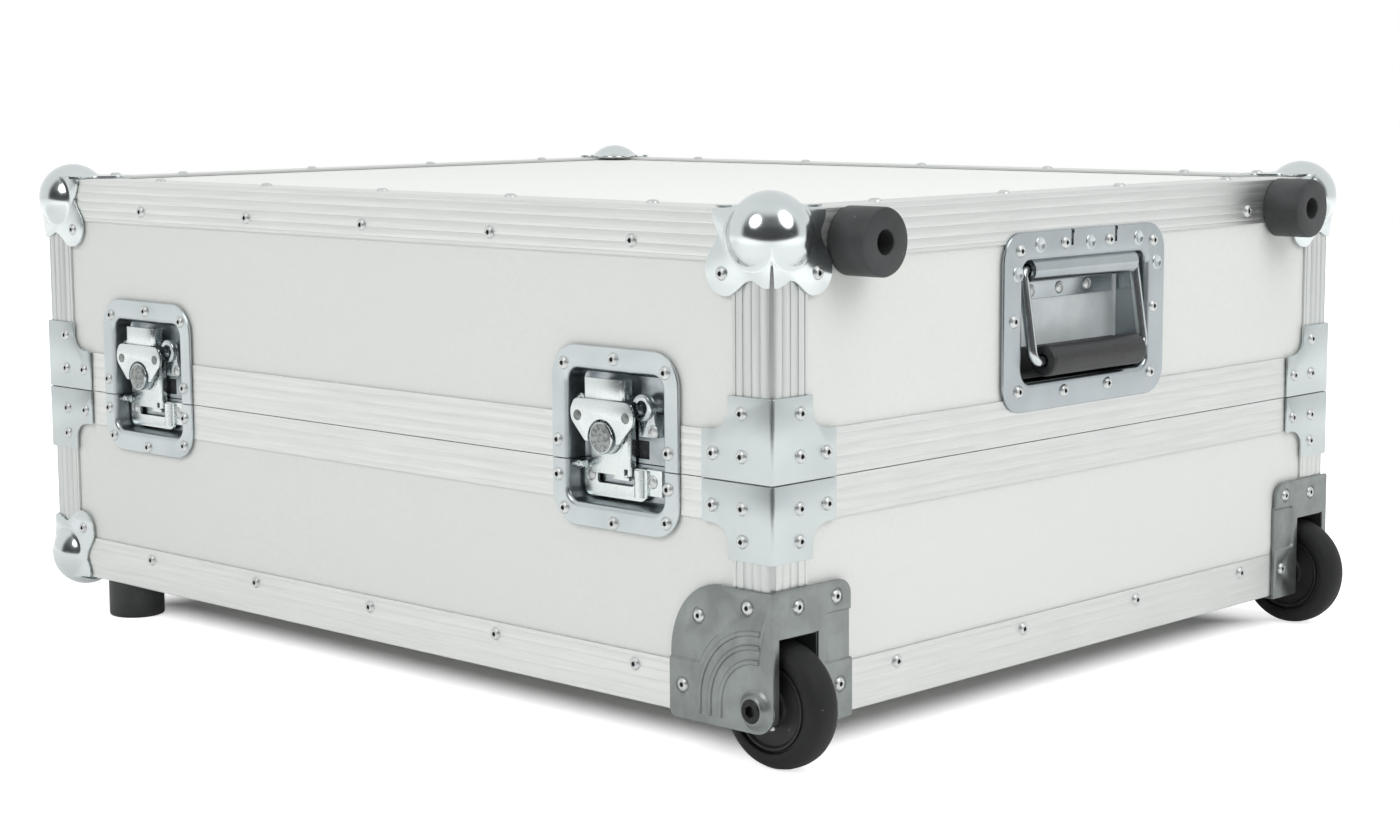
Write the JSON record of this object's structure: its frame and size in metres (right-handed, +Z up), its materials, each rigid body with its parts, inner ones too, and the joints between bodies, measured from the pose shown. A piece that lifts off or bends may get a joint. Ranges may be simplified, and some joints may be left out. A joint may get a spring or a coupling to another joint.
{
  "type": "computer flight case",
  "caption": "Wheeled flight case for a computer: grey-white panels in aluminium edging, recessed twist latches and handles, ball corners, castors, rubber feet and a foam-lined hinged lid.",
  "frame": {"origin": "bottom centre of the whole case's bounding box, on the ground under its feet and castors", "axes": "+Z up, the latches face -Y, the castors and one handle are at the +X end, the hinge is at the +Y side"},
  "size_m": [0.766, 0.6084, 0.3307],
  "materials": {
    "panel": "plywood faced with pale grey-white laminate, faintly stippled",
    "aluminium": "satin ribbed extrusion",
    "zinc": "bright zinc plate",
    "chrome": "bright plated",
    "dull_zinc": "dull grey plated",
    "rubber": "matt black",
    "grip": "matt black moulded",
    "foam": "open-cell grey foam"
  },
  "bodies": {
    "base": {"base_panel_bottom": "panel", "base_panel_front": "panel", "base_panel_back": "panel", "base_panel_left": "panel", "base_panel_right": "panel", "base_edge_frame": "aluminium", "base_edge_right": "aluminium", "base_rim": "aluminium", "base_rim_front": "aluminium", "base_ball_corner_front_left": "chrome", "base_ball_corner_back_left": "chrome", "base_brace_front_left": "zinc", "base_brace_front_right": "zinc", "base_brace_back_left": "zinc", "base_brace_back_right": "zinc", "castor_front_bracket": "dull_zinc", "castor_back_bracket": "dull_zinc", "base_foot_front": "rubber", "base_foot_back": "rubber", "latch_left_lower_dish": "zinc", "latch_right_lower_dish": "zinc", "hinge_base_leaf": "zinc", "hinge_pin": "zinc", "base_foam": "foam"},
    "lid": {"lid_panel_top": "panel", "lid_panel_front": "panel", "lid_panel_back": "panel", "lid_panel_left": "panel", "lid_panel_right": "panel", "lid_edge_frame": "aluminium", "lid_rim": "aluminium", "lid_rim_front": "aluminium", "lid_ball_corner_front_left": "chrome", "lid_ball_corner_front_right": "chrome", "lid_ball_corner_back_left": "chrome", "lid_ball_corner_back_right": "chrome", "lid_brace_front_left": "zinc", "lid_brace_front_right": "zinc", "lid_brace_back_left": "zinc", "lid_brace_back_right": "zinc", "lid_foot_front": "rubber", "lid_foot_back": "rubber", "latch_left_upper_dish": "zinc", "latch_right_upper_dish": "zinc", "handle_left_dish": "zinc", "handle_right_dish": "zinc", "hinge_lid_leaf": "zinc", "lid_foam": "foam"},
    "latch_left_cam": {"latch_left_cam": "dull_zinc"},
    "latch_left_wing": {"latch_left_wing": "zinc"},
    "latch_left_hook": {"latch_left_hook": "zinc"},
    "latch_right_cam": {"latch_right_cam": "dull_zinc"},
    "latch_right_wing": {"latch_right_wing": "zinc"},
    "latch_right_hook": {"latch_right_hook": "zinc"},
    "handle_left": {"handle_left_bail": "zinc", "handle_left_grip": "grip"},
    "handle_right": {"handle_right_bail": "zinc", "handle_right_grip": "grip"},
    "castor_front_wheel": {"castor_front_wheel": "rubber"},
    "castor_back_wheel": {"castor_back_wheel": "rubber"}
  },
  "joints": [
    {"name": "lid_hinge", "type": "hinge", "parent": "base", "child": "lid", "pos_m": [-0.006, 0.2994, 0.1665], "axis": [-1, 0, 0], "range_deg": [0, 95]},
    {"name": "latch_left_turn", "type": "hinge", "parent": "lid", "child": "latch_left_cam", "pos_m": [-0.2552, -0.2914, 0.1815], "axis": [0, -1, 0], "range_deg": [0, 180]},
    {"name": "latch_left_fold", "type": "hinge", "parent": "latch_left_cam", "child": "latch_left_wing", "pos_m": [-0.2552, -0.2914, 0.1815], "axis": [1, 0, 0], "range_deg": [0, 90]},
    {"name": "latch_left_slide", "type": "slide", "parent": "lid", "child": "latch_left_hook", "axis": [0, 0, 1], "range_m": [-0.003, 0]},
    {"name": "latch_right_turn", "type": "hinge", "parent": "lid", "child": "latch_right_cam", "pos_m": [0.221, -0.2914, 0.1815], "axis": [0, -1, 0], "range_deg": [0, 180]},
    {"name": "latch_right_fold", "type": "hinge", "parent": "latch_right_cam", "child": "latch_right_wing", "pos_m": [0.221, -0.2914, 0.1815], "axis": [1, 0, 0], "range_deg": [0, 90]},
    {"name": "latch_right_slide", "type": "slide", "parent": "lid", "child": "latch_right_hook", "axis": [0, 0, 1], "range_m": [-0.003, 0]},
    {"name": "handle_right_swing", "type": "hinge", "parent": "lid", "child": "handle_right", "pos_m": [0.352, 0, 0.273], "axis": [0, -1, 0], "range_deg": [0, 85], "stiffness_Nm_per_rad": 0.15, "springref_deg": -34.38},
    {"name": "handle_left_swing", "type": "hinge", "parent": "lid", "child": "handle_left", "pos_m": [-0.364, 0, 0.273], "axis": [0, 1, 0], "range_deg": [0, 85], "stiffness_Nm_per_rad": 0.15, "springref_deg": -34.38},
    {"name": "castor_front_spin", "type": "hinge", "parent": "base", "child": "castor_front_wheel", "pos_m": [0.3455, -0.275, 0.0375], "axis": [0, 1, 0], "continuous": true},
    {"name": "castor_back_spin", "type": "hinge", "parent": "base", "child": "castor_back_wheel", "pos_m": [0.3455, 0.275, 0.0375], "axis": [0, 1, 0], "continuous": true}
  ],
  "couplings": [
    {"joint": "latch_left_turn", "follows": "latch_left_fold", "ratio": 2},
    {"joint": "latch_left_slide", "follows": "latch_left_fold", "m_per_rad": -0.0019098},
    {"joint": "latch_right_turn", "follows": "latch_right_fold", "ratio": 2},
    {"joint": "latch_right_slide", "follows": "latch_right_fold", "m_per_rad": -0.0019098}
  ]
}
